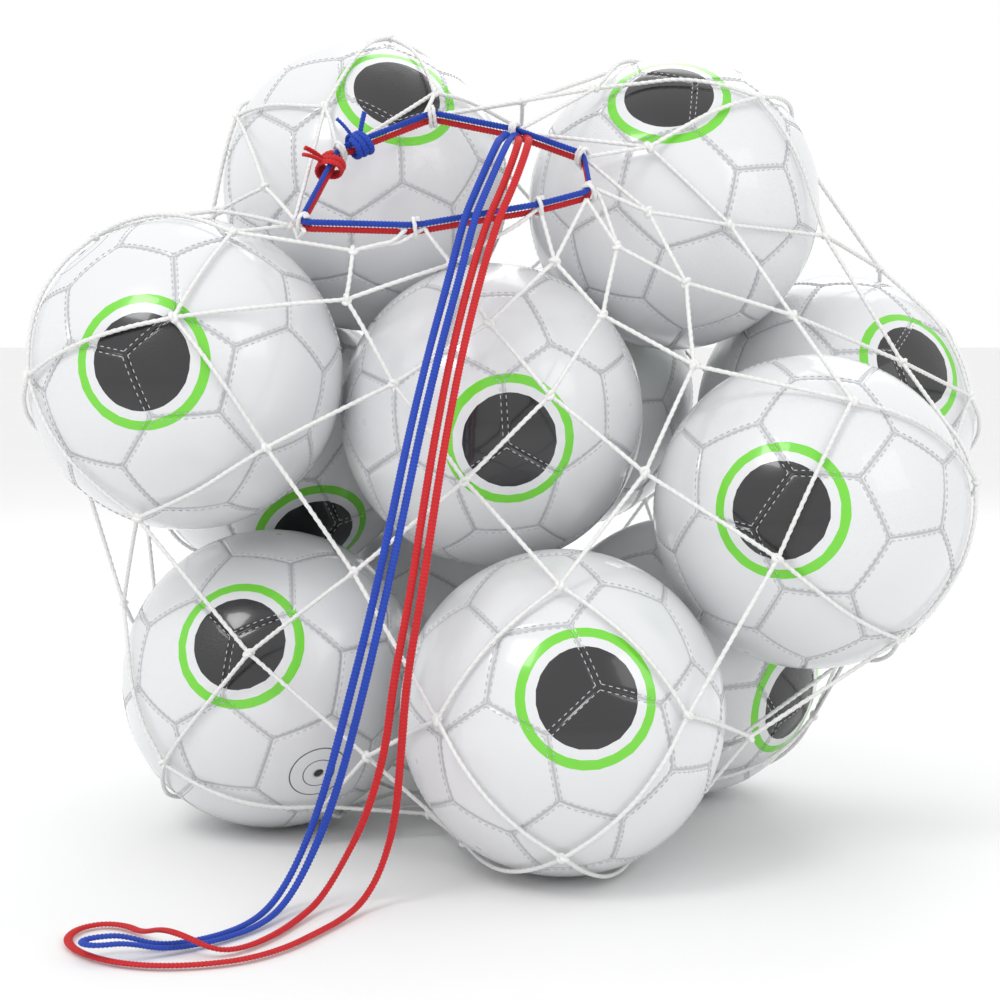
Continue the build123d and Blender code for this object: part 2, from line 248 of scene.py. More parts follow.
@dataclass(frozen=True)
class CoverFinish:
    """Glossy coated panels with a plain round disc and a plain ring round it.

    The attribute "print_side" is the cosine of the angle from the print's middle. The
    print is there and on the far side too, and its sizes are angles at the ball's centre.
    """

    name: str = "coated_panels"
    white: tuple = (0.71, 0.72, 0.735, 1)
    # Painted shade: the grey that the panels take in the sewn grooves between them.
    seam_shade: tuple = (0.47, 0.48, 0.5, 1)
    black: tuple = (0.012, 0.012, 0.014, 1)
    green: tuple = (0.16, 0.62, 0.03, 1)
    mark: tuple = (0.08, 0.08, 0.09, 1)
    disc: float = 0.30
    ring_inner: float = 0.36
    ring_outer: float = 0.42
    outer_line: tuple = (21.0 * MM, 0.5 * MM)
    inner_line: tuple = (11.5 * MM, 0.4 * MM)

    def build(self) -> bpy.types.Material:
        """Make the material.

        Returns:
            The material.
        """
        fixed = {"Coat Weight": 0.5, "Coat Roughness": 0.06}
        g = MaterialGraph(self.name, fixed)
        side = g.node("ShaderNodeAttribute", {"attribute_name": "print_side"}, {}, 2)
        seam_shade = g.node("ShaderNodeAttribute", {"attribute_name": "seam_shade"}, {}, 2)
        woven = g.node("ShaderNodeAttribute", {"attribute_name": "woven"}, {}, 2)
        valve = g.node("ShaderNodeAttribute", {"attribute_name": "valve_gap"}, {}, 2)
        toward = abs(side)
        disc = toward > math.cos(self.disc)
        ring = (toward > math.cos(self.ring_outer)) * (toward < math.cos(self.ring_inner))
        lines = [abs(valve - far) < half for far, half in (self.outer_line, self.inner_line)]
        rings = lines[0].either(lines[1])
        # Painted shade: the white is darkened towards the grey in the sewn grooves between panels.
        base = g.mix(seam_shade, self.white, self.seam_shade)
        base = g.mix(rings, base, self.mark)
        base = g.mix(disc, g.mix(ring, base, self.green), self.black)
        g.feed("Base Color", base)
        g.feed("Roughness", woven * 0.2 + g.noise(g.place(), 30.0) * 0.06 + 0.2)
        cloth = g.node("ShaderNodeTexVoronoi", {}, {"Vector": g.place(), "Scale": 620.0})
        g.bump(cloth * woven, 0.0004, 0.35)
        return g.material


class Finish(Enum):
    """The finishes of the bag."""

    TWINE = FibreFinish("white_twine", (0.93, 0.93, 0.92, 1), (0.72, 0.72, 0.71, 1), 0.6, 0.1)
    # The dark colours of the braids below give both random tone and the painted shade in the dips
    # between their ribs.
    BLUE = FibreFinish("blue_braid", (0.005, 0.075, 0.62, 1), (0.0, 0.03, 0.3, 1), 0.65, 0.05)
    RED = FibreFinish("red_braid", (0.78, 0.006, 0.012, 1), (0.42, 0.0, 0.004, 1), 0.65, 0.05)
    THREAD = FibreFinish("seam_thread", (0.62, 0.62, 0.64, 1), (0.46, 0.46, 0.48, 1), 0.6, 0.0)
    COVER = CoverFinish()
    BLADDER = RubberFinish("bladder_rubber")
    VALVE = RubberFinish("valve_rubber", (0.015, 0.015, 0.017, 1))


class Wardrobe:
    """Makes each finish once."""

    made: dict = {}

    @classmethod
    def get(cls, finish: Finish) -> bpy.types.Material:
        """The material of a finish.

        Args:
            finish: which finish.

        Returns:
            Its material, made on first use.
        """
        if finish not in cls.made:
            cls.made[finish] = finish.value.build()
        return cls.made[finish]


# ---------------------------------------------------------------- meshes


def mesh_piece(name: str, points: np.ndarray, faces: list, finish: Finish) -> bpy.types.Object:
    """Make a smooth mesh object at the origin.

    Args:
        name: the piece's name.
        points: its points, in metres.
        faces: the point numbers of each face.
        finish: its finish.

    Returns:
        The piece.
    """
    mesh = bpy.data.meshes.new(name)
    mesh.from_pydata([tuple(p) for p in points], [], faces)
    mesh.update()
    mesh.polygons.foreach_set("use_smooth", [True] * len(mesh.polygons))
    mesh.materials.append(Wardrobe.get(finish))
    piece = bpy.data.objects.new(name, mesh)
    bpy.context.scene.collection.objects.link(piece)
    return piece


def unit(vectors: np.ndarray) -> np.ndarray:
    """Vectors scaled to length one."""
    return vectors / (np.linalg.norm(vectors, axis=-1, keepdims=True) + 1e-12)


def resampled(path: np.ndarray, step: float) -> np.ndarray:
    """Points evenly along a path.

    Args:
        path: the points of the path.
        step: the spacing wanted.

    Returns:
        The new points, first and last kept.
    """
    runs = np.linalg.norm(np.diff(path, axis=0), axis=1)
    along = np.concatenate([[0.0], np.cumsum(runs)])
    count = max(2, int(round(along[-1] / step)) + 1)
    at = np.linspace(0.0, along[-1], count)
    return np.stack([np.interp(at, along, path[:, i]) for i in range(3)], axis=1)


@dataclass
class Braid:
    """A flat ribbed braid swept along a path."""

    width: float = 5.6 * MM
    thickness: float = 3.2 * MM
    step: float = 0.6 * MM
    rib: float = 2.4 * MM
    relief: float = 0.5 * MM
    sides: int = 14

    def sweep(
        self, name: str, path: np.ndarray, facing: np.ndarray, finish: Finish
    ) -> bpy.types.Object:
        """Sweep the braid.

        Args:
            name: the piece's name.
            path: the points it follows.
            facing: the way its flat side faces, one vector or one for each point.
            finish: its finish.

        Returns:
            The piece.
        """
        facing = np.broadcast_to(facing, path.shape)
        fine = resampled(path, self.step)
        share = np.linspace(0.0, 1.0, len(fine))
        old = np.linspace(0.0, 1.0, len(path))
        face = np.stack([np.interp(share, old, facing[:, i]) for i in range(3)], axis=1)
        along = unit(np.gradient(fine, axis=0))
        across = unit(np.cross(along, face))
        out = unit(np.cross(across, along))
        turn = 2 * np.pi * np.arange(self.sides) / self.sides
        run = np.arange(len(fine)) * self.step
        lean = 0.5 * np.abs(np.cos(turn))
        wave = np.sin(2 * np.pi * (run[:, None] / self.rib + lean[None, :]))
        swell = self.relief * (wave - 1) / 2
        half_w = self.width / 2 + swell
        half_t = self.thickness / 2 + swell
        points = (
            fine[:, None]
            + across[:, None] * (half_w * np.cos(turn))[..., None]
            + out[:, None] * (half_t * np.sin(turn))[..., None]
        ).reshape(-1, 3)
        n = self.sides
        faces = []
        for i in range(len(fine) - 1):
            for j in range(n):
                k = (j + 1) % n
                faces.append((i * n + j, (i + 1) * n + j, (i + 1) * n + k, i * n + k))
        faces.append(tuple(range(n)))
        faces.append(tuple(range((len(fine) - 1) * n, len(fine) * n))[::-1])
        piece = mesh_piece(name, points, faces, finish)
        # The groove attribute marks the dips between ribs, where FibreFinish paints shade into the
        # colour.
        made = piece.data.attributes.new("groove", "FLOAT", "POINT")
        made.data.foreach_set("value", ((1 - wave) / 2).astype(np.float32).ravel())
        outward(piece)
        return piece


def outward(piece: bpy.types.Object) -> None:
    """Turn a closed mesh's faces outwards.

    Args:
        piece: the piece, a closed mesh.
    """
    bm = bmesh.new()
    bm.from_mesh(piece.data)
    bmesh.ops.recalc_face_normals(bm, faces=bm.faces)
    bm.to_mesh(piece.data)
    bm.free()


# ---------------------------------------------------------------- what repeats


class RepeatTree(Graph):
    """A Geometry Nodes tree with named inputs, and its use on one object."""

    def __init__(self, name: str, sizes: dict, finish: Finish) -> None:
        """Start a tree.

        Args:
            name: the tree's name.
            sizes: its named inputs and their values.
            finish: what the result is made of.
        """
        tree = bpy.data.node_groups.new(name, "GeometryNodeTree")
        super().__init__(tree)
        face = tree.interface
        face.new_socket("Geometry", in_out="INPUT", socket_type="NodeSocketGeometry")
        for size, value in sizes.items():
            made = face.new_socket(size, in_out="INPUT", socket_type="NodeSocketFloat")
            made.default_value = value
        face.new_socket("Geometry", in_out="OUTPUT", socket_type="NodeSocketGeometry")
        self.sizes = sizes
        self.finish = finish
        self.source = tree.nodes.new("NodeGroupInput")

    def given(self, name: str) -> Socket:
        """A named input."""
        return Socket(self, self.source.outputs[name])

    def close(self, geometry: Socket) -> None:
        """End in Realize Instances and Set Material.

        Args:
            geometry: what the tree has made.
        """
        real = self.node("GeometryNodeRealizeInstances", {}, {"Geometry": geometry})
        inputs = {"Geometry": real, "Material": Wardrobe.get(self.finish)}
        dressed = self.node("GeometryNodeSetMaterial", {}, inputs)
        end = self.tree.nodes.new("NodeGroupOutput")
        self.tree.links.new(dressed.output, end.inputs[0])

    def apply(self, name: str, carrier: bpy.types.Object) -> bpy.types.Object:
        """Run the tree on a carrier and keep the result as a plain mesh.

        Args:
            name: the finished piece's name.
            carrier: the mesh whose points or edges it works on, used up.

        Returns:
            The finished piece.
        """
        modifier = carrier.modifiers.new(name, "NODES")
        modifier.node_group = self.tree
        for item in self.tree.interface.items_tree:
            if item.item_type == "SOCKET" and item.in_out == "INPUT" and item.name in self.sizes:
                modifier[item.identifier] = float(self.sizes[item.name])
        bpy.context.view_layer.update()
        graph = bpy.context.evaluated_depsgraph_get()
        mesh = bpy.data.meshes.new_from_object(carrier.evaluated_get(graph))
        mesh.name = name
        mesh.polygons.foreach_set("use_smooth", [True] * len(mesh.polygons))
        carrier.modifiers.clear()
        old = carrier.data
        piece = bpy.data.objects.new(name, mesh)
        bpy.context.scene.collection.objects.link(piece)
        bpy.data.objects.remove(carrier)
        bpy.data.meshes.remove(old)
        return piece


def carrier(
    name: str, points: np.ndarray, edges: list, vectors: dict | None = None
) -> bpy.types.Object:
    """A mesh of points and edges, with vector attributes, for a tree to work on.

    Args:
        name: the object's name.
        points: its points, in metres.
        edges: pairs of point numbers.
        vectors: one vector for each point, by attribute name.

    Returns:
        The object.
    """
    mesh = bpy.data.meshes.new(name)
    mesh.from_pydata([tuple(p) for p in points], edges, [])
    for key, values in (vectors or {}).items():
        made = mesh.attributes.new(key, "FLOAT_VECTOR", "POINT")
        made.data.foreach_set("vector", np.asarray(values, np.float32).ravel())
    piece = bpy.data.objects.new(name, mesh)
    bpy.context.scene.collection.objects.link(piece)
    return piece


class TwineTree(RepeatTree):
    """Three-strand twine along every edge path."""

    def __init__(self) -> None:
        """Build the tree."""
        sizes = {"Radius": 1.7 * MM, "Step": 1.6 * MM, "Twist": 0.62, "Lobe": 0.14}
        super().__init__("twine_along_paths", sizes, Finish.TWINE)
        curve = self.node("GeometryNodeMeshToCurve", {}, {"Mesh": self.given("Geometry")})
        inputs = {"Curve": curve, "Length": self.given("Step")}
        curve = self.node("GeometryNodeResampleCurve", {"mode": "LENGTH"}, inputs)
        turn = self.given("Twist") * self.node("GeometryNodeInputIndex", {}, {})
        curve = self.node("GeometryNodeSetCurveTilt", {}, {"Curve": curve, "Tilt": turn})
        circle = self.node(
            "GeometryNodeCurvePrimitiveCircle", {}, {"Resolution": 9, "Radius": self.given("Radius")}
        )
        index = self.node("GeometryNodeInputIndex", {}, {})
        lobe = (index * (2 * math.pi / 3)).sine() * self.given("Lobe") + (1 - self.given("Lobe"))
        spot = self.node("GeometryNodeInputPosition", {}, {})
        grown = self.node("ShaderNodeVectorMath", {"operation": "SCALE"}, {0: spot, 3: lobe})
        profile = self.node("GeometryNodeSetPosition", {}, {"Geometry": circle, "Position": grown})
        inputs = {"Curve": curve, "Profile Curve": profile, "Fill Caps": True}
        self.close(self.node("GeometryNodeCurveToMesh", {}, inputs))


class KnotTree(RepeatTree):
    """A two-lobed knot on every point, turned by the attribute "turn"."""

    def __init__(self) -> None:
        """Build the tree."""
        sizes = {"Lobe": 2.1 * MM, "Twine": 1.6 * MM}
        super().__init__("knots_on_points", sizes, Finish.TWINE)
        ring = self.node(
            "GeometryNodeCurvePrimitiveCircle", {}, {"Resolution": 10, "Radius": self.given("Lobe")}
        )
        round_ = self.node(
            "GeometryNodeCurvePrimitiveCircle", {}, {"Resolution": 6, "Radius": self.given("Twine")}
        )
        torus = self.node("GeometryNodeCurveToMesh", {}, {"Curve": ring, "Profile Curve": round_})
        lobes = []
        for sign in (-1, 1):
            offset = (sign * 0.8 * MM, sign * 0.5 * MM, sign * 0.3 * MM)
            turn = (sign * 0.9, sign * 0.35, 0.0)
            inputs = {"Geometry": torus, "Translation": offset, "Rotation": turn}
            lobes.append(self.node("GeometryNodeTransform", {}, inputs))
        both = self.tree.nodes.new("GeometryNodeJoinGeometry")
        for lobe in lobes:
            self.tree.links.new(lobe.output, both.inputs[0])
        settings = {"data_type": "FLOAT_VECTOR"}
        turn = self.node("GeometryNodeInputNamedAttribute", settings, {"Name": "turn"})
        inputs = {"Points": self.given("Geometry"), "Instance": Socket(self, both.outputs[0])}
        inputs["Rotation"] = turn
        self.close(self.node("GeometryNodeInstanceOnPoints", {}, inputs))


class StitchTree(RepeatTree):
    """A short raised stitch on every point, turned by the attribute "turn"."""

    def __init__(self) -> None:
        """Build the tree."""
        sizes = {"Length": 2.4 * MM, "Width": 0.55 * MM, "Height": 0.35 * MM}
        super().__init__("stitches_on_points", sizes, Finish.THREAD)
        inputs = {i: self.given(key) for i, key in enumerate(sizes)}
        size = self.node("ShaderNodeCombineXYZ", {}, inputs)
        bar = self.node("GeometryNodeMeshCube", {}, {"Size": size})
        settings = {"data_type": "FLOAT_VECTOR"}
        turn = self.node("GeometryNodeInputNamedAttribute", settings, {"Name": "turn"})
        inputs = {"Points": self.given("Geometry"), "Instance": bar, "Rotation": turn}
        self.close(self.node("GeometryNodeInstanceOnPoints", {}, inputs))


def euler_of(frames: np.ndarray) -> np.ndarray:
    """XYZ Euler angles of rotation matrices, whose columns are the turned axes.

    Args:
        frames: one 3 by 3 matrix for each.

    Returns:
        Three angles for each, in radians.
    """
    pitch = np.arcsin(np.clip(-frames[:, 2, 0], -1, 1))
    roll = np.arctan2(frames[:, 2, 1], frames[:, 2, 2])
    yaw = np.arctan2(frames[:, 1, 0], frames[:, 0, 0])
    return np.stack([roll, pitch, yaw], axis=1)


def frame_for(facing: np.ndarray, roll: float) -> np.ndarray:
    """Axes whose third is facing and whose second leans from straight up by roll, in radians.

    Args:
        facing: the third axis, any length.
        roll: the second axis's lean, in radians.

    Returns:
        The axes, as columns.
    """
    z = unit(np.asarray(facing, float))
    up = np.array([0.0, 0.0, 1.0]) if abs(z[2]) < 0.95 else np.array([0.0, 1.0, 0.0])
    x = unit(np.cross(up, z))
    y = np.cross(z, x)
    turned_x = math.cos(roll) * x + math.sin(roll) * y
    return np.stack([turned_x, np.cross(z, turned_x), z], axis=1)


# ---------------------------------------------------------------- the footballs


@dataclass
class BallPattern:
    """The sewn shape that all the balls share, round the origin, its valve along +Z."""

    radius: float = 109.7 * MM
    groove: float = 1.2 * MM
    groove_width: float = 1.15 * MM
    crown: float = 0.25 * MM
    valve_hole: float = 3.75 * MM
    rim_depth: float = 2.0 * MM
    along: int = 10
    rings: tuple = (0.3, 0.55, 0.75, 0.88, 0.935, 0.965, 0.985, 1.0)
    stitch_gap: float = 4.6 * MM
    stitch_in: float = 1.9 * MM

    def corners(self) -> tuple:
        """Corners of a 32-panel ball, and the corner numbers of each panel in order.

        Returns:
            The corners, and a list of corner numbers for each panel.
        """
        gold = (1 + math.sqrt(5)) / 2
        heads = []
        for a in (-1, 1):
            for b in (-gold, gold):
                heads += [(0, a, b), (a, b, 0), (b, 0, a)]
        heads = np.array(heads, float)
        gaps = np.linalg.norm(heads[:, None] - heads[None], axis=2)
        pairs = [(i, j) for i in range(12) for j in range(12) if i != j and gaps[i, j] < 2.01]
        spots = unit(np.array([heads[i] * 2 / 3 + heads[j] / 3 for i, j in pairs]))
        panels = []
        for i in range(12):
            panels.append([k for k, pair in enumerate(pairs) if pair[0] == i])
        for i in range(12):
            for j in range(i + 1, 12):
                for k in range(j + 1, 12):
                    if gaps[i, j] < 2.01 and gaps[j, k] < 2.01 and gaps[i, k] < 2.01:
                        three = {i, j, k}
                        panels.append([n for n, pair in enumerate(pairs) if set(pair) <= three])
        ordered = []
        for panel in panels:
            middle = unit(spots[panel].mean(axis=0))
            x = unit(spots[panel[0]] - middle * (spots[panel[0]] @ middle))
            y = np.cross(middle, x)
            ordered.append(sorted(panel, key=lambda n: math.atan2(spots[n] @ y, spots[n] @ x)))
        return spots, ordered

    def build(self) -> dict:
        """Points, faces, painted groove shade and woven shares, and the stitches' places and frames.

        Returns:
            Arrays and lists by name, in metres.
        """
        spots, panels = self.corners()
        valve_panel = len(panels) - 1
        middle = unit(spots[panels[valve_panel]].mean(axis=0))
        spots = spots @ frame_for(middle, 0.0)
        points, faces, seam_shades, woven = [], [], [], []
        stitches, frames = [], []
        for number, panel in enumerate(panels):
            middle = unit(spots[panel].mean(axis=0))
            rim = []
            for start, end in zip(panel, panel[1:] + panel[:1]):
                for step in range(self.along):
                    share = step / self.along
                    rim.append(unit(spots[start] * (1 - share) + spots[end] * share))
            rim = np.array(rim)
            count = len(rim)
            base = len(points)
            has_valve = number == valve_panel
            rings = list(self.rings)
            if has_valve:
                hole = self.valve_hole / self.radius
                first = hole / math.acos(float(rim[0] @ middle))
                rings = [first, first, 0.12] + rings
            for at, ring in enumerate(rings):
                ways = unit(middle * (1 - ring) + rim * ring)
                if has_valve and at < 3:
                    reach = hole if at < 2 else 0.12 * math.acos(float(rim[0] @ middle))
                    flat = unit(rim - middle * (rim @ middle)[:, None])
                    ways = middle * math.cos(reach) + flat * math.sin(reach)
                apart = np.arccos(np.clip((ways * rim).sum(axis=1), -1, 1)) * self.radius * 0.87
                dip = np.exp(-((apart / self.groove_width) ** 2))
                size = self.radius - self.groove * dip - self.crown * ring**2
                if has_valve and at == 0:
                    size = size - self.rim_depth
                points.extend(ways * np.broadcast_to(size, count)[:, None])
                # The mask of painted shade: 1 deep in the sewn groove between panels, 0 away from it.
                seam_shades.extend(np.clip(1.5 * dip - 0.5, 0, 1))
                woven.extend([1.0 if number % 3 == 1 and ring < 0.95 else 0.0] * count)
                if at:
                    low, high = base + (at - 1) * count, base + at * count
                    for k in range(count):
                        n = (k + 1) % count
                        faces.append((low + k, high + k, high + n, low + n))
            if not has_valve:
                top = len(points)
                points.append(middle * self.radius)
                seam_shades.append(0.0)
                woven.append(woven[-1])
                faces.extend((top, base + k, base + (k + 1) % count) for k in range(count))
            for start, end in zip(panel, panel[1:] + panel[:1]):
                self.stitch_row(spots[start], spots[end], middle, stitches, frames)
        return {
            "points": np.array(points),
            "faces": faces,
            "seam_shade": seam_shades,
            "woven": woven,
            "stitches": np.array(stitches),
            "frames": np.array(frames),
        }

    def stitch_row(
        self,
        start: np.ndarray,
        end: np.ndarray,
        middle: np.ndarray,
        stitches: list,
        frames: list,
    ) -> None:
        """Add the stitches along one side of one sewn join.

        Args:
            start: the sewn join's first corner.
            end: its last corner.
            middle: middle of the panel it belongs to.
            stitches: list of places, added to.
            frames: list of axes, added to.
        """
        length = math.acos(float(start @ end)) * self.radius
        count = int(length / self.stitch_gap)
        for step in range(count):
            share = (step + 0.5) / count
            way = unit(start * (1 - share) + end * share)
            along = unit(end - start)
            inward = unit(np.cross(way, along))
            inward = inward if inward @ middle > way @ middle * (inward @ way) else -inward
            way = unit(way + inward * self.stitch_in / self.radius)
            along = unit(along - way * (along @ way))
            stitches.append(way * (self.radius - 0.25 * MM))
            frames.append(np.stack([along, np.cross(way, along), way], axis=1))


# Where each ball's print faces, as (right, towards the front, up).
PRINTS = {
    "ball_01": (0.12, 1.0, 0.28),
    "ball_02": (-0.12, 1.0, 0.42),
    "ball_03": (0.7, 0.6, -0.2),
    "ball_04": (-0.9, -0.3, 0.0),
    "ball_05": (-0.35, 1.0, 0.1),
    "ball_06": (-0.3, -0.7, 0.6),
    "ball_07": (0.45, 0.9, 0.4),
    "ball_08": (0.12, 1.0, -0.12),
    "ball_09": (0.9, -0.3, 0.3),
    "ball_10": (-0.12, 1.0, 0.1),
    "ball_11": (-0.1, 0.75, 0.72),
    "ball_12": (0.28, 0.8, 0.62),
}


@dataclass
class Footballs:
    """Twelve sewn balls, with their bladders and valves."""

    pattern: BallPattern = field(default_factory=BallPattern)

    def build(self) -> None:
        """Make every ball from the shared pattern."""
        shape = self.pattern.build()
        stitch_tree = StitchTree()
        for name in BALLS:
            self.build_ball(name, shape, stitch_tree)
            LOG.info("built %s", name)

    def build_ball(self, name: str, shape: dict, tree: StitchTree) -> None:
        """Make one ball's cover and stitches, and dress its bladder and valve.

        Args:
            name: the ball's body.
            shape: what BallPattern.build gives.
            tree: the tree that makes stitches.
        """
        low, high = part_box(f"{name}_bladder")
        centre = (np.array(low) + np.array(high)) / 2
        low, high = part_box(f"{name}_valve")
        valve_way = (np.array(low) + np.array(high)) / 2 - centre
        turned = frame_for(valve_way, 0.0)
        points = shape["points"] @ turned.T
        cover = mesh_piece(f"{name}_panels", points + centre, shape["faces"], Finish.COVER)
        right, front, up = PRINTS[name]
        shares = unit(points) @ unit(np.array([right, -front, up]))
        made = cover.data.attributes.new("print_side", "FLOAT", "POINT")
        made.data.foreach_set("value", shares.astype(np.float32))
        # The mask of painted groove shade and the woven share go onto the cover.
        for key in ("seam_shade", "woven"):
            made = cover.data.attributes.new(key, "FLOAT", "POINT")
            made.data.foreach_set("value", np.asarray(shape[key], np.float32))
        gaps = np.arccos(np.clip(unit(points) @ unit(valve_way), -1, 1)) * self.pattern.radius
        made = cover.data.attributes.new("valve_gap", "FLOAT", "POINT")
        made.data.foreach_set("value", gaps.astype(np.float32))
        bm = bmesh.new()
        bm.from_mesh(cover.data)
        bmesh.ops.remove_doubles(bm, verts=bm.verts, dist=0.02 * MM)
        bmesh.ops.recalc_face_normals(bm, faces=bm.faces)
        bm.to_mesh(cover.data)
        bm.free()
        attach(cover, name)
        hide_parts(f"{name}_cover")
        spots = shape["stitches"] @ turned.T + centre
        turns = euler_of(np.einsum("ij,njk->nik", turned, shape["frames"]))
        stitches = tree.apply(f"{name}_stitches", carrier("spots", spots, [], {"turn": turns}))
        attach(stitches, name)
        for part, finish in (("bladder", Finish.BLADDER), ("valve", Finish.VALVE)):
            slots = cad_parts[f"{name}_{part}"].data.materials
            slots.clear()
            slots.append(Wardrobe.get(finish))


# ---------------------------------------------------------------- the mouth


@dataclass
class Mouth:
    """The flat ring of drawcords that the net's first meshes hang on."""

    middle: tuple = (-37.0, -121.0, 472.0)
    tilt: float = 48.0
    corners: dict = field(
        default_factory=lambda: {
            "front_left": (-42, -51, 2),
            "left": (-120, -48, 2),
            "knot": (-97, 23, 1),
            "back": (-33, 60, 2),
            "exit": (25, 43, 1),
            "right_back": (73, 18, 1),
            "right": (77, -18, 2),
            "front_right": (42, -31, 1),
        }
    )
    cord_split: float = 3.2
    cord_radius: float = 2.8
    mesh_split: float = 6.0
    loop_radius: float = 8.2
    twine_radius: float = 1.75
    corner_bend: float = 5.0
    bead_radius: float = 11.0
    bead_away: float = 15.0
    corner_reach: float = 6.0

    def point(self, across: float, up: float, out: float = 0.0) -> np.ndarray:
        """A point of the mouth's plane, in mm.

        Args:
            across: to the right.
            up: up the slope.
            out: out of the plane.

        Returns:
            The point.
        """
        tilt = math.radians(self.tilt)
        rise = np.array([0.0, math.cos(tilt), math.sin(tilt)])
        outward_ = np.array([0.0, -math.sin(tilt), math.cos(tilt)])
        return np.array(self.middle) + np.array([across, 0, 0]) + up * rise + out * outward_

    def normal(self) -> np.ndarray:
        """The way out of the mouth."""
        return self.point(0, 0, 1) - self.point(0, 0, 0)

    def flat(self, name: str) -> np.ndarray:
        """A corner's place in the plane."""
        return np.array(self.corners[name][:2], float)

    def sides(self, name: str) -> tuple:
        """The ways into and out of a corner.

        Args:
            name: the corner.

        Returns:
            Two unit vectors in the plane.
        """
        names = list(self.corners)
        at = names.index(name)
        before, here, after = (self.flat(names[(at + i) % len(names)]) for i in (-1, 0, 1))
        return unit(here - before), unit(after - here)

    def tangent(self, name: str) -> np.ndarray:
        """The way the drawcords run through a corner."""
        before, after = self.sides(name)
        return unit(before + after)

    def meshes(self) -> list:
        """Where each mesh of the net starts, and the corner it belongs to.

        Returns:
            Pairs of corner name and place, in mm.
        """
        found = []
        for name, (_, _, count) in self.corners.items():
            for shift in [0.0] if count == 1 else [-self.mesh_split, self.mesh_split]:
                found.append((name, self.point(*(self.flat(name) + self.tangent(name) * shift))))
        return found

    def loop_middle(self, name: str) -> np.ndarray:
        """Middle of a corner's loop.

        Args:
            name: the corner.

        Returns:
            The point, in mm.
        """
        before, after = self.sides(name)
        turn = math.acos(max(-1.0, min(1.0, float(before @ after))))
        shift = self.corner_bend * (1 / math.cos(turn / 2) - 1)
        return self.point(*(self.flat(name) + unit(after - before) * shift))

    def bead_middle(self, side: str) -> np.ndarray:
        """Middle of a cord knot."""
        here = self.flat("knot")
        return self.point(*(here + unit(self.flat(side) - here) * self.bead_away))

    def body(self, name: str) -> str:
        """The CAD body of a corner."""
        return "net" if name == "exit" else f"mouth_{name}"


@dataclass
class DrawcordRing:
    """One drawcord where it runs round the mouth, drawn in with its corners."""

    colour: str
    finish: Finish
    out: float
    mouth: Mouth
    braid: Braid = field(default_factory=Braid)

    def build(self) -> None:
        """Make a bend at each corner and two half sides from it."""
        names = list(self.mouth.corners)
        for at, name in enumerate(names):
            here = self.mouth.flat(name)
            ends = []
            for step, key in ((-1, "before"), (1, "after")):
                there = self.mouth.flat(names[(at + step) % len(names)])
                self.half_side(name, key, here, there)
                ends.append(here + unit(there - here) * (self.mouth.corner_reach + 0.4))
            self.bend(name, ends[0], here, ends[1])

    def dress(self, piece: bpy.types.Object, name: str) -> None:
        """Put a piece on its corner's body."""
        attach(piece, self.mouth.body(name))

    def bend(self, name: str, start: np.ndarray, here: np.ndarray, end: np.ndarray) -> None:
        """The braid through a corner.

        Args:
            name: the corner.
            start: where the bend starts, in the plane.
            here: the corner's place.
            end: where the bend ends.
        """
        shares = np.linspace(0, 1, 13)[:, None]
        flat = (1 - shares) ** 2 * start + 2 * shares * (1 - shares) * here + shares**2 * end
        path = np.array([self.mouth.point(*spot, self.out) for spot in flat]) * MM
        side = np.array([self.mouth.point(*spot) for spot in flat])
        facing = np.cross(np.gradient(side, axis=0), self.mouth.normal())
        piece = self.braid.sweep(
            f"drawcord_{self.colour}_bend_{name}", path, unit(facing), self.finish
        )
        self.dress(piece, name)
        if name == "exit":
            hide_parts(f"drawcord_ring_{self.colour}")

    def half_side(self, name: str, key: str, here: np.ndarray, there: np.ndarray) -> None:
        """The braid from near a corner to the middle of a side, shortened as the mouth is drawn in.

        Args:
            name: the corner.
            key: before or after it.
            here: the corner's place, in the plane.
            there: the next corner's place.
        """
        way = unit(there - here)
        half = np.linalg.norm(there - here) / 2
        reach = self.mouth.corner_reach
        ends = [here + way * reach, here + way * (half + 0.2)]
        path = np.array([self.mouth.point(*spot, self.out) for spot in ends]) * MM
        axis = unit(path[1] - path[0])
        facing = np.cross(axis, self.mouth.normal())
        piece = self.braid.sweep(
            f"drawcord_{self.colour}_{name}_{key}", path, facing, self.finish
        )
        self.dress(piece, name)
        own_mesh(piece)


@dataclass
class MouthLoops:
    """Turns of twine round both drawcords in each corner."""

    mouth: Mouth
    tree: TwineTree
    turns: float = 1.5
    more_at_exit: float = 1.5
    spread: float = 2.1
    flatness: float = 0.55
    points_a_turn: int = 37

    def build(self) -> None:
        """Make every corner's loop."""
        for name in self.mouth.corners:
            way = self.mouth.tangent(name)
            along = self.mouth.point(*way) - self.mouth.point(0, 0)
            side = self.mouth.normal()
            other = np.cross(along, side)
            turns = self.turns + (self.more_at_exit if name == "exit" else 0.0)
            count = int(self.points_a_turn * turns)
            turn = np.linspace(0, 2 * np.pi * turns, count)[:, None]
            drift = (turn / turn.max() - 0.5) * 2 * self.spread
            size = self.mouth.loop_radius * np.array([1.0, self.flatness])
            path = (
                self.mouth.loop_middle(name)
                + side * np.cos(turn) * size[0]
                + other * np.sin(turn) * size[1]
                + along * drift
            ) * MM
            edges = [(i, i + 1) for i in range(len(path) - 1)]
            loop = self.tree.apply(f"loop_{name}", carrier("loop", path, edges))
            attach(loop, self.mouth.body(name))
            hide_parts(f"mouth_loop_{name}")


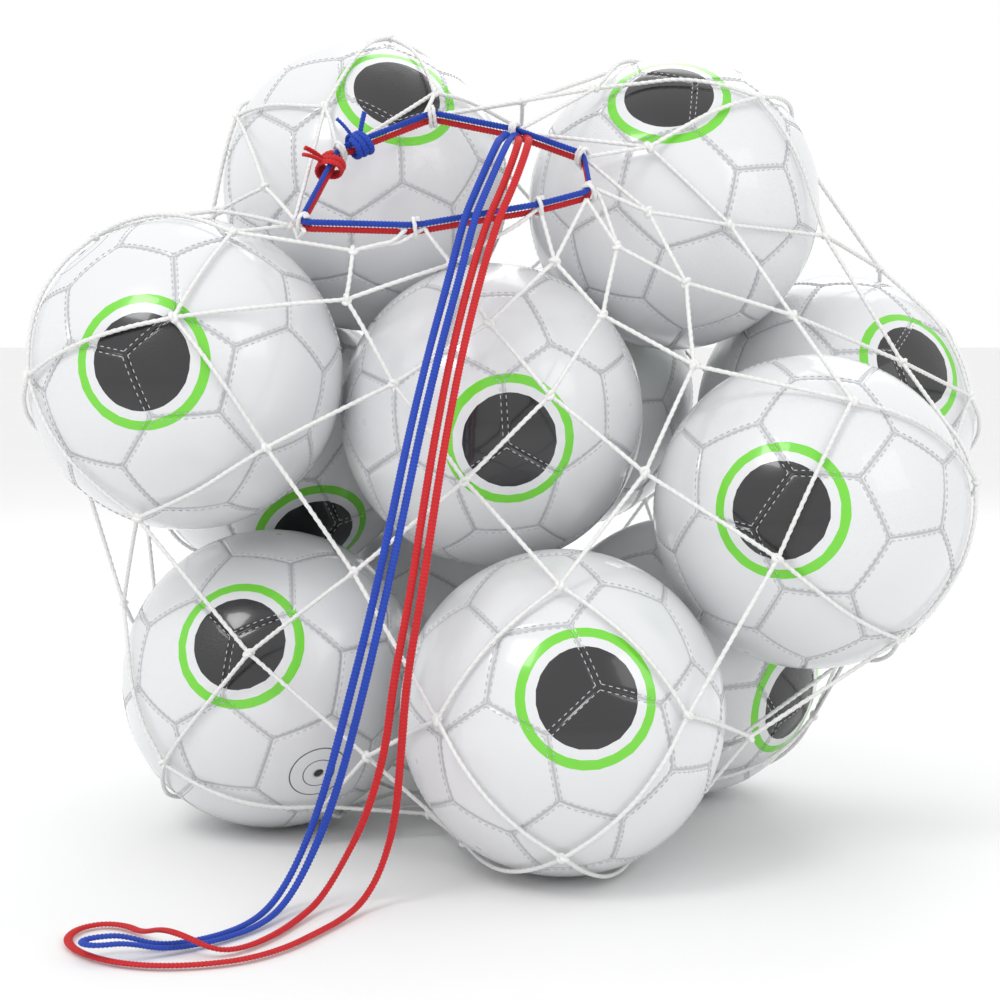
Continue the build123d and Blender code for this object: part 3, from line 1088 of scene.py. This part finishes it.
@dataclass
class CordKnot:
    """The knot that ties one drawcord's ends: wraps round both cords, and two cut tails."""

    colour: str
    finish: Finish
    side: str
    tails: tuple
    mouth: Mouth
    braid: Braid = field(default_factory=lambda: Braid(width=5.0 * MM, thickness=3.0 * MM))
    wrap_radius: float = 8.2
    wraps: float = 2.4
    wrap_length: float = 11.0
    weave: float = 1.6
    tail_start: float = 0.34
    droop: float = 3.0

    def build(self) -> None:
        """Make the knot's wraps and tails."""
        centre = self.mouth.bead_middle(self.side)
        corner = self.mouth.point(*self.mouth.flat("knot"))
        along = unit(centre - corner)
        side = self.mouth.normal()
        other = np.cross(along, side)
        turn = np.linspace(0, 2 * np.pi * self.wraps, 90)[:, None]
        drift = (turn / turn.max() - 0.5) * self.wrap_length + self.weave * np.sin(turn)
        spoke = side * np.cos(turn) + other * np.sin(turn)
        path = (centre + spoke * self.wrap_radius + along * drift) * MM
        wraps = self.braid.sweep(f"knot_{self.colour}_wraps", path, spoke, self.finish)
        self.dress(wraps)
        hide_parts(f"drawcord_knot_{self.colour}")
        for number, tail in enumerate(self.tails):
            tip = self.mouth.point(*tail) - self.mouth.point(0, 0)
            share = np.linspace(0, 1, 9)[:, None]
            droop = np.array([0.0, 0.0, -self.droop]) * share**2
            reach = self.tail_start + (1 - self.tail_start) * share
            path = (centre + tip * reach + droop) * MM
            facing = unit(np.cross(tip, other) + 0.01)
            name = f"knot_{self.colour}_tail_{number}"
            self.dress(self.braid.sweep(name, path, facing, self.finish))

    def dress(self, piece: bpy.types.Object) -> None:
        """Put a piece on the knot corner's body."""
        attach(piece, "mouth_knot")


# The drawcords where they leave the mouth, hang, lie on the floor and turn back, in metres.
BLUE_ROUTE = [
    (-0.017, -0.097, 0.503), (-0.022, -0.104, 0.498), (-0.023, -0.117, 0.496),
    (-0.029, -0.134, 0.482), (-0.038, -0.151, 0.460), (-0.046, -0.167, 0.440),
    (-0.055, -0.191, 0.402), (-0.068, -0.221, 0.352), (-0.080, -0.246, 0.299),
    (-0.090, -0.264, 0.248), (-0.102, -0.277, 0.192), (-0.117, -0.276, 0.134),
    (-0.132, -0.268, 0.078), (-0.148, -0.259, 0.034), (-0.162, -0.274, 0.009),
    (-0.174, -0.305, 0.003), (-0.194, -0.335, 0.003), (-0.223, -0.355, 0.004),
    (-0.243, -0.360, 0.012), (-0.256, -0.362, 0.012), (-0.265, -0.368, 0.012),
    (-0.264, -0.377, 0.012), (-0.254, -0.380, 0.012), (-0.239, -0.374, 0.012),
    (-0.218, -0.363, 0.004), (-0.188, -0.340, 0.003), (-0.167, -0.309, 0.003),
    (-0.155, -0.279, 0.009), (-0.141, -0.265, 0.034), (-0.124, -0.269, 0.078),
    (-0.109, -0.277, 0.134), (-0.095, -0.278, 0.192), (-0.083, -0.265, 0.248),
    (-0.073, -0.248, 0.299), (-0.061, -0.223, 0.352), (-0.048, -0.193, 0.402),
    (-0.039, -0.169, 0.440), (-0.031, -0.154, 0.460), (-0.022, -0.136, 0.482),
    (-0.016, -0.119, 0.496), (-0.015, -0.105, 0.498), (-0.011, -0.097, 0.503),
]
RED_ROUTE = [
    (-0.010, -0.096, 0.501), (-0.009, -0.105, 0.498), (-0.009, -0.118, 0.496),
    (-0.013, -0.135, 0.482), (-0.021, -0.152, 0.460), (-0.030, -0.166, 0.440),
    (-0.041, -0.190, 0.403), (-0.053, -0.219, 0.353), (-0.063, -0.244, 0.300),
    (-0.071, -0.263, 0.249), (-0.078, -0.278, 0.200), (-0.088, -0.280, 0.150),
    (-0.094, -0.272, 0.102), (-0.107, -0.264, 0.058), (-0.123, -0.261, 0.026),
    (-0.136, -0.273, 0.007), (-0.147, -0.300, 0.003), (-0.158, -0.331, 0.003),
    (-0.173, -0.356, 0.003), (-0.188, -0.367, 0.005), (-0.205, -0.366, 0.013),
    (-0.222, -0.350, 0.013), (-0.238, -0.329, 0.004), (-0.250, -0.312, 0.003),
    (-0.266, -0.307, 0.003), (-0.279, -0.317, 0.003), (-0.282, -0.336, 0.003),
    (-0.275, -0.355, 0.003), (-0.260, -0.372, 0.003), (-0.240, -0.384, 0.003),
    (-0.217, -0.389, 0.003), (-0.192, -0.386, 0.003), (-0.168, -0.376, 0.003),
    (-0.148, -0.355, 0.003), (-0.133, -0.327, 0.003), (-0.119, -0.298, 0.003),
    (-0.108, -0.274, 0.007), (-0.097, -0.263, 0.025), (-0.088, -0.266, 0.058),
    (-0.084, -0.274, 0.102), (-0.080, -0.281, 0.150), (-0.071, -0.279, 0.200),
    (-0.064, -0.265, 0.249), (-0.056, -0.246, 0.300), (-0.046, -0.221, 0.353),
    (-0.034, -0.192, 0.403), (-0.023, -0.168, 0.440), (-0.014, -0.154, 0.460),
    (-0.006, -0.136, 0.482), (-0.002, -0.118, 0.496), (-0.002, -0.105, 0.498),
    (-0.005, -0.096, 0.501),
]


@dataclass
class PulledCord:
    """The pulled-out end of one drawcord: a bight that hangs down the front and lies on the floor."""

    colour: str
    finish: Finish
    route: list
    length: float
    braid: Braid = field(default_factory=Braid)
    step: float = 2.5 * MM
    floor_zone: tuple = (0.01, 0.07)
    sway: float = 0.35
    sway_rate: float = 21.0

    def line(self) -> np.ndarray:
        """Points read from the smooth spline through the route.

        Returns:
            The points, in metres.
        """
        curve = bpy.data.curves.new("line", "CURVE")
        curve.dimensions = "3D"
        curve.resolution_u = 12
        spline = curve.splines.new("NURBS")
        spline.points.add(len(self.route) - 1)
        for spot, place in zip(spline.points, self.route):
            spot.co = (*place, 1.0)
        spline.order_u = 3
        spline.use_endpoint_u = True
        holder = bpy.data.objects.new("line", curve)
        bpy.context.scene.collection.objects.link(holder)
        bpy.context.view_layer.update()
        graph = bpy.context.evaluated_depsgraph_get()
        mesh = bpy.data.meshes.new_from_object(holder.evaluated_get(graph))
        points = np.array([v.co for v in mesh.vertices], float)
        bpy.data.objects.remove(holder)
        bpy.data.meshes.remove(mesh)
        return points

    def build(self) -> None:
        path = resampled(self.line(), self.step)
        bottom, height = self.floor_zone
        hang = np.clip((path[:, 2] - bottom) / height, 0, 1)[:, None]
        facing = unit(hang * np.array([0.0, -1.0, 0.25]) + (1 - hang) * np.array([0.0, 0.0, 1.0]))
        run = np.linspace(0, len(path) * self.step, len(path))[:, None]
        swing = self.sway * hang * np.sin(run * self.sway_rate)
        facing = unit(facing + swing * np.array([1.0, 0.0, 0.0]))
        piece = self.braid.sweep(f"pulled_cord_{self.colour}", path, facing, self.finish)
        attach(piece, "net")
        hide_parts(f"drawcord_bight_{self.colour}")


# ---------------------------------------------------------------- the net


@dataclass
class Net:
    """Knots and bars of twine, drawn tight over the balls from the mouth to the gather.

    Works in mm.
    """

    mouth: Mouth
    ball_radius: float = 110.0
    twine_radius: float = 1.75
    knot_radius: float = 4.5
    columns: int = 12
    rows: int = 11
    bar_length: float = 118.0
    bar_pieces: int = 4
    bar_standoff: float = 3.15
    knot_standoff: float = 4.9
    gather: tuple = (-25.0, 15.0)
    gather_ring: float = 24.0
    gather_radius: float = 19.2
    steps: int = 1500
    pull: float = 0.08
    start_clearance: float = 25.0
    foot_knot: float = 47.0
    foot_bar: float = 37.0
    foot_height: float = 14.0
    least_reach: float = 150.0
    mouth_gap: float = 1.0

    def __post_init__(self) -> None:
        """Lay the net over the balls and draw it tight."""
        centres = []
        for name in BALLS:
            low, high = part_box(f"{name}_bladder")
            centres.append((np.array(low) + np.array(high)) / 2 / MM)
        self.balls = np.array(centres)
        self.feet = self.balls[self.balls[:, 2] <= self.ball_radius + 1]
        self.load = np.array([0.0, 0.0, 250.0])
        self.starts = self.mouth.meshes()
        names = list(self.mouth.corners)
        self.ring = np.array([self.mouth.point(*self.mouth.flat(name)) for name in names])
        loop = self.mouth.loop_radius + self.mouth.twine_radius
        self.lumps = [(self.mouth.loop_middle(name), loop) for name in names]
        self.lumps += [
            (self.mouth.bead_middle(side), self.mouth.bead_radius) for side in ("back", "left")
        ]
        self.lay_out()
        self.draw_tight()

    def over_load(self, direction: np.ndarray) -> np.ndarray:
        """The outermost point of the load in a direction.

        Args:
            direction: a unit vector.

        Returns:
            The point, in mm.
        """
        to_balls = self.balls - self.load
        along = to_balls @ direction
        reach = self.ball_radius + self.start_clearance
        inside = along**2 - (to_balls**2).sum(axis=1) + reach**2
        far = np.where(inside > 0, along + np.sqrt(np.maximum(inside, 0)), 0).max()
        return self.load + direction * max(far, self.least_reach)

    def lay_out(self) -> None:
        """First places of all knots and bars."""
        middle = np.array(self.mouth.middle)
        starts = [place for _, place in self.starts]
        top = middle - self.load
        bottom = np.array([*self.gather, 0.0]) - self.load
        axis = unit(unit(top) - unit(bottom))
        side = starts[0] - middle
        side = unit(side - axis * (axis @ side))
        other = np.cross(axis, side)
        if (starts[3] - middle) @ other < 0:
            other = -other
        points = []
        self.knots = {}
        for row in range(self.rows + 1):
            for column in range(self.columns):
                turn = 2 * math.pi * (column + 0.5 * (row % 2)) / self.columns
                way = math.cos(turn) * side + math.sin(turn) * other
                if row == 0:
                    place = starts[column]
                elif row == self.rows:
                    flat = np.array(self.gather) + unit(way[:2]) * self.gather_ring
                    place = np.array([*flat, self.knot_radius + 0.1])
                else:
                    fall = math.pi * row / self.rows
                    place = self.over_load(math.cos(fall) * axis + math.sin(fall) * way)
                self.knots[row, column] = len(points)
                points.append(place)
        self.spread_last_row(points)
        self.bars = {}
        for row in range(self.rows):
            for column in range(self.columns):
                for lean in (0, -1 if row % 2 == 0 else 1):
                    ends = ((row, column), (row + 1, (column + lean) % self.columns))
                    first, last = (self.knots[end] for end in ends)
                    inner = []
                    for step in range(1, self.bar_pieces):
                        share = step / self.bar_pieces
                        place = points[first] * (1 - share) + points[last] * share
                        if 0 < row < self.rows - 1:
                            place = self.over_load(unit(place - self.load))
                        inner.append(len(points))
                        points.append(place)
                    self.bars[ends] = [first, *inner, last]
        self.points = np.array(points, float)

    def spread_last_row(self, points: list) -> None:
        """The last knots, evenly round the gather.

        Args:
            points: all the places so far, changed here.
        """
        first, second = (points[self.knots[self.rows, i]][:2] - np.array(self.gather) for i in (0, 1))
        way = 1 if first[0] * second[1] - first[1] * second[0] > 0 else -1
        start = math.atan2(first[1], first[0])
        for column in range(self.columns):
            turn = start + way * 2 * math.pi * column / self.columns
            place = np.array([math.cos(turn), math.sin(turn)]) * self.gather_ring
            place = np.array([*(place + np.array(self.gather)), self.knot_radius + 0.1])
            points[self.knots[self.rows, column]] = place

    def push_off_mouth(self, room: np.ndarray) -> None:
        """Move points away from the drawcords, loops and cord knots.

        Args:
            room: the least gap for each point.
        """
        for start, end in zip(self.ring, np.roll(self.ring, -1, axis=0)):
            side = end - start
            share = np.clip((self.points - start) @ side / (side @ side), 0.0, 1.0)
            way = self.points - start - share[:, None] * side
            gap = np.linalg.norm(way, axis=1) - self.mouth.cord_split - self.mouth.cord_radius
            self.points += unit(way) * np.maximum(room - gap, 0.0)[:, None]
        for middle, radius in self.lumps:
            way = self.points - middle
            gap = np.linalg.norm(way, axis=1) - radius
            self.points += unit(way) * np.maximum(room - gap, 0.0)[:, None]

    def draw_tight(self) -> None:
        """Shorten the bars, off the balls and the floor, until the net lies still."""
        chains = np.array(list(self.bars.values()))
        links = np.concatenate([chains[:, i : i + 2] for i in range(self.bar_pieces)])
        count = np.bincount(links.ravel(), minlength=len(self.points))
        is_knot = np.zeros(len(self.points), bool)
        is_knot[list(self.knots.values())] = True
        held = np.zeros(len(self.points), bool)
        rows = (0, self.rows)
        held[[self.knots[row, column] for row in rows for column in range(self.columns)]] = True
        resting = self.points[held].copy()
        standoff = np.where(is_knot, self.knot_standoff, self.bar_standoff)
        lowest = np.where(is_knot, self.knot_radius + 0.1, self.twine_radius + 0.05)
        foot = np.where(is_knot, self.foot_knot, self.foot_bar)
        room = np.where(is_knot, self.knot_radius, self.twine_radius) + self.mouth_gap
        link_length = self.bar_length / self.bar_pieces
        for _ in range(self.steps):
            along = self.points[links[:, 1]] - self.points[links[:, 0]]
            length = np.linalg.norm(along, axis=1) + 1e-9
            pull = np.maximum(length - link_length, 0) + self.pull * np.minimum(length, link_length)
            move = along / length[:, None] * (pull * 0.5)[:, None]
            total = np.zeros_like(self.points)
            np.add.at(total, links[:, 0], move)
            np.add.at(total, links[:, 1], -move)
            self.points += 1.6 * total / count[:, None]
            self.push_off_mouth(room)
            for ball in self.balls:
                out = self.points - ball
                distance = np.linalg.norm(out, axis=1)
                inside = distance < self.ball_radius + standoff
                reach = (self.ball_radius + standoff[inside]) / distance[inside]
                self.points[inside] = ball + out[inside] * reach[:, None]
            self.points[:, 2] = np.maximum(self.points[:, 2], lowest)
            for ball in self.feet:
                out = self.points[:, :2] - ball[:2]
                distance = np.linalg.norm(out, axis=1)
                under = (distance < foot) & (self.points[:, 2] < self.foot_height)
                shift = out[under] * (foot[under] / distance[under])[:, None]
                self.points[under, :2] = ball[:2] + shift
            self.points[held] = resting

    def bar_path(self, ends: tuple) -> np.ndarray:
        """A bar's smooth path from knot to knot, in metres, off the balls.

        Args:
            ends: the bar's two knots.

        Returns:
            The points of the path.
        """
        rough = np.array([self.points[i] for i in self.bars[ends]])
        padded = np.vstack([2 * rough[0] - rough[1], rough, 2 * rough[-1] - rough[-2]])
        path = []
        for a, b, c, d in zip(padded, padded[1:], padded[2:], padded[3:]):
            for t in np.linspace(0, 1, 6, endpoint=False):
                path.append(
                    0.5 * (2 * b + (c - a) * t + (2 * a - 5 * b + 4 * c - d) * t**2
                           + (3 * b - a - 3 * c + d) * t**3)
                )
        path.append(rough[-1])
        path = np.array(path)
        for ball in self.balls:
            out = path - ball
            distance = np.linalg.norm(out, axis=1)
            near = distance < self.ball_radius + self.twine_radius
            path[near] = ball + unit(out[near]) * (self.ball_radius + self.twine_radius)
        return path * MM

    def twine(self, name: str, paths: list, tree: TwineTree) -> bpy.types.Object:
        """One piece of twine along several paths.

        Args:
            name: the piece's name.
            paths: one run of points for each stretch.
            tree: the tree that makes twine.

        Returns:
            The piece.
        """
        points, edges = [], []
        for path in paths:
            edges += [(len(points) + i, len(points) + i + 1) for i in range(len(path) - 1)]
            points.extend(path)
        piece = tree.apply(name, carrier("paths", np.array(points), edges))
        return piece

    def build(self, twine: TwineTree, knot: KnotTree) -> None:
        """Make all of the net's pieces.

        Args:
            twine: the tree that makes twine.
            knot: the tree that makes knots.
        """
        for low in range(1, self.rows, 2):
            rows = (low, low + 1)
            paths = [self.bar_path(ends) for ends in self.bars if ends[0][0] in rows]
            piece = self.twine(f"twine_rows_{low:02d}_{low + 1:02d}", paths, twine)
            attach(piece, "net")
            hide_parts(f"net_bars_{low:02d}_{low + 1:02d}")
        self.mouth_bars(twine)
        half = self.rows // 2
        groups = {"upper": range(1, half + 1), "lower": range(half + 1, self.rows + 1)}
        for key, rows in groups.items():
            spots = [i for (row, _), i in self.knots.items() if row in rows]
            places = self.points[spots]
            turns = euler_of(np.array([self.knot_frame(spot) for spot in spots]))
            piece = knot.apply(f"knots_{key}", carrier("knots", places * MM, [], {"turn": turns}))
            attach(piece, "net")
            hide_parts(f"net_knots_{key}")
        self.lashing(twine)

    def knot_frame(self, spot: int) -> np.ndarray:
        """A knot's axes: out of the load, and turned a little differently at each.

        Args:
            spot: the knot's number.

        Returns:
            The axes, as columns.
        """
        place = self.points[spot]
        near = self.balls[np.argmin(np.linalg.norm(self.balls - place, axis=1))]
        return frame_for(place - near, spot * 2.4)

    def mouth_bars(self, twine: TwineTree) -> None:
        """The first row's bars, one piece for each corner; the exit corner's piece is put on the
        net's body, and the others on none.

        Args:
            twine: the tree that makes twine.
        """
        for name in self.mouth.corners:
            mine = [i for i, (corner, _) in enumerate(self.starts) if corner == name]
            chosen = [ends for ends in self.bars if ends[0][0] == 0 and ends[0][1] in mine]
            paths = [self.bar_path(ends) for ends in chosen]
            piece = self.twine(f"twine_mouth_{name}", paths, twine)
            upper = self.mouth.point(*self.mouth.flat(name)) * MM
            if name == "exit":
                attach(piece, "net")
                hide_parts("net_mouth_bars")
            else:
                self.mouth.body(name)
                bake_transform(piece)

    def lashing(self, twine: TwineTree) -> None:
        """Two flat spirals of twine where the net closes.

        Args:
            twine: the tree that makes twine.
        """
        paths = []
        for height, sign in ((1.8, 1), (5.2, -1)):
            turn = np.linspace(0.6, 2 * np.pi * 4.7, 240)
            size = np.linspace(2.0, self.gather_radius - 1.8, 240)
            x = self.gather[0] + size * np.cos(turn * sign)
            y = self.gather[1] + size * np.sin(turn * sign)
            paths.append(np.stack([x, y, np.full(240, height)], axis=1) * MM)
        piece = self.twine("bottom_lashing", paths, twine)
        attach(piece, "net")
        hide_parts("net_bottom_gather")


# ---------------------------------------------------------------- the studio


@dataclass
class Studio:
    """Camera, lights and floor."""

    place: tuple = (-0.022, -1.490, 0.366)
    pitch: float = 85.07
    lens: float = 70.9
    bag_middle: tuple = (0.0, 0.0, 0.28)
    floor_half: float = 40.0
    key: tuple = ((-1.2, -1.6, 2.2), 0.8, 17.0)
    fill: tuple = ((1.7, -1.3, 1.3), 1.0, 5.0)
    back: tuple = ((0.4, 1.6, 1.9), 1.6, 14.0)

    def build(self) -> None:
        """Set the camera, the lights and the floor."""
        data = bpy.data.cameras.new("camera")
        data.lens = self.lens
        data.sensor_width = 36.0
        camera = bpy.data.objects.new("camera", data)
        camera.location = self.place
        camera.rotation_euler = (math.radians(self.pitch), 0.0, 0.0)
        bpy.context.scene.collection.objects.link(camera)
        bpy.context.scene.camera = camera
        for name in ("key", "fill", "back"):
            self.light(name, *getattr(self, name))
        bpy.context.scene.view_settings.view_transform = "Standard"
        self.world()
        self.floor()

    def light(self, name: str, place: tuple, size: float, watts: float) -> None:
        """Add an area light that looks at the bag's middle.

        Args:
            name: the light's name.
            place: where it stands.
            size: its side, in metres.
            watts: its power.
        """
        data = bpy.data.lights.new(name, "AREA")
        data.size = size
        data.energy = watts
        lamp = bpy.data.objects.new(name, data)
        lamp.location = place
        aim = Vector(self.bag_middle) - Vector(place)
        lamp.rotation_euler = aim.to_track_quat("-Z", "Y").to_euler()
        bpy.context.scene.collection.objects.link(lamp)

    def world(self) -> None:
        """Plain pale surroundings."""
        world = bpy.data.worlds.new("studio")
        world.use_nodes = True
        world.node_tree.nodes["Background"].inputs["Color"].default_value = (1, 1, 1, 1)
        world.node_tree.nodes["Background"].inputs["Strength"].default_value = 1.0
        bpy.context.scene.world = world

    def floor(self) -> None:
        """A plain pale floor."""
        half = self.floor_half
        corners = [(-half, -half, 0), (half, -half, 0), (half, half, 0), (-half, half, 0)]
        mesh = bpy.data.meshes.new("floor")
        mesh.from_pydata(corners, [], [(0, 1, 2, 3)])
        g = MaterialGraph("pale_floor", {"Roughness": 0.7})
        shade = g.noise(g.place(), 2.0)
        g.feed("Base Color", g.mix(shade, (0.86, 0.86, 0.86, 1), (0.89, 0.89, 0.89, 1)))
        mesh.materials.append(g.material)
        floor = bpy.data.objects.new("floor", mesh)
        bpy.context.scene.collection.objects.link(floor)


def main() -> None:
    """Build the studio and every sub-assembly in order."""
    logging.basicConfig(level=logging.INFO, format="%(name)s: %(message)s")
    Studio().build()
    PulledCord("blue", Finish.BLUE, BLUE_ROUTE, 1.46).build()
    PulledCord("red", Finish.RED, RED_ROUTE, 1.65).build()
    mouth = Mouth()
    twine = TwineTree()
    knot = KnotTree()
    DrawcordRing("blue", Finish.BLUE, mouth.cord_split, mouth).build()
    DrawcordRing("red", Finish.RED, -mouth.cord_split, mouth).build()
    CordKnot("blue", Finish.BLUE, "back", ((5, 16, 20), (-14, 10, 19)), mouth).build()
    CordKnot("red", Finish.RED, "left", ((-17, 4, 18), (-17, -5, 20)), mouth).build()
    LOG.info("built the drawcords")
    MouthLoops(mouth, twine).build()
    Net(mouth).build(twine, knot)
    LOG.info("built the net")
    Footballs().build()


if __name__ == "__main__":
    main()
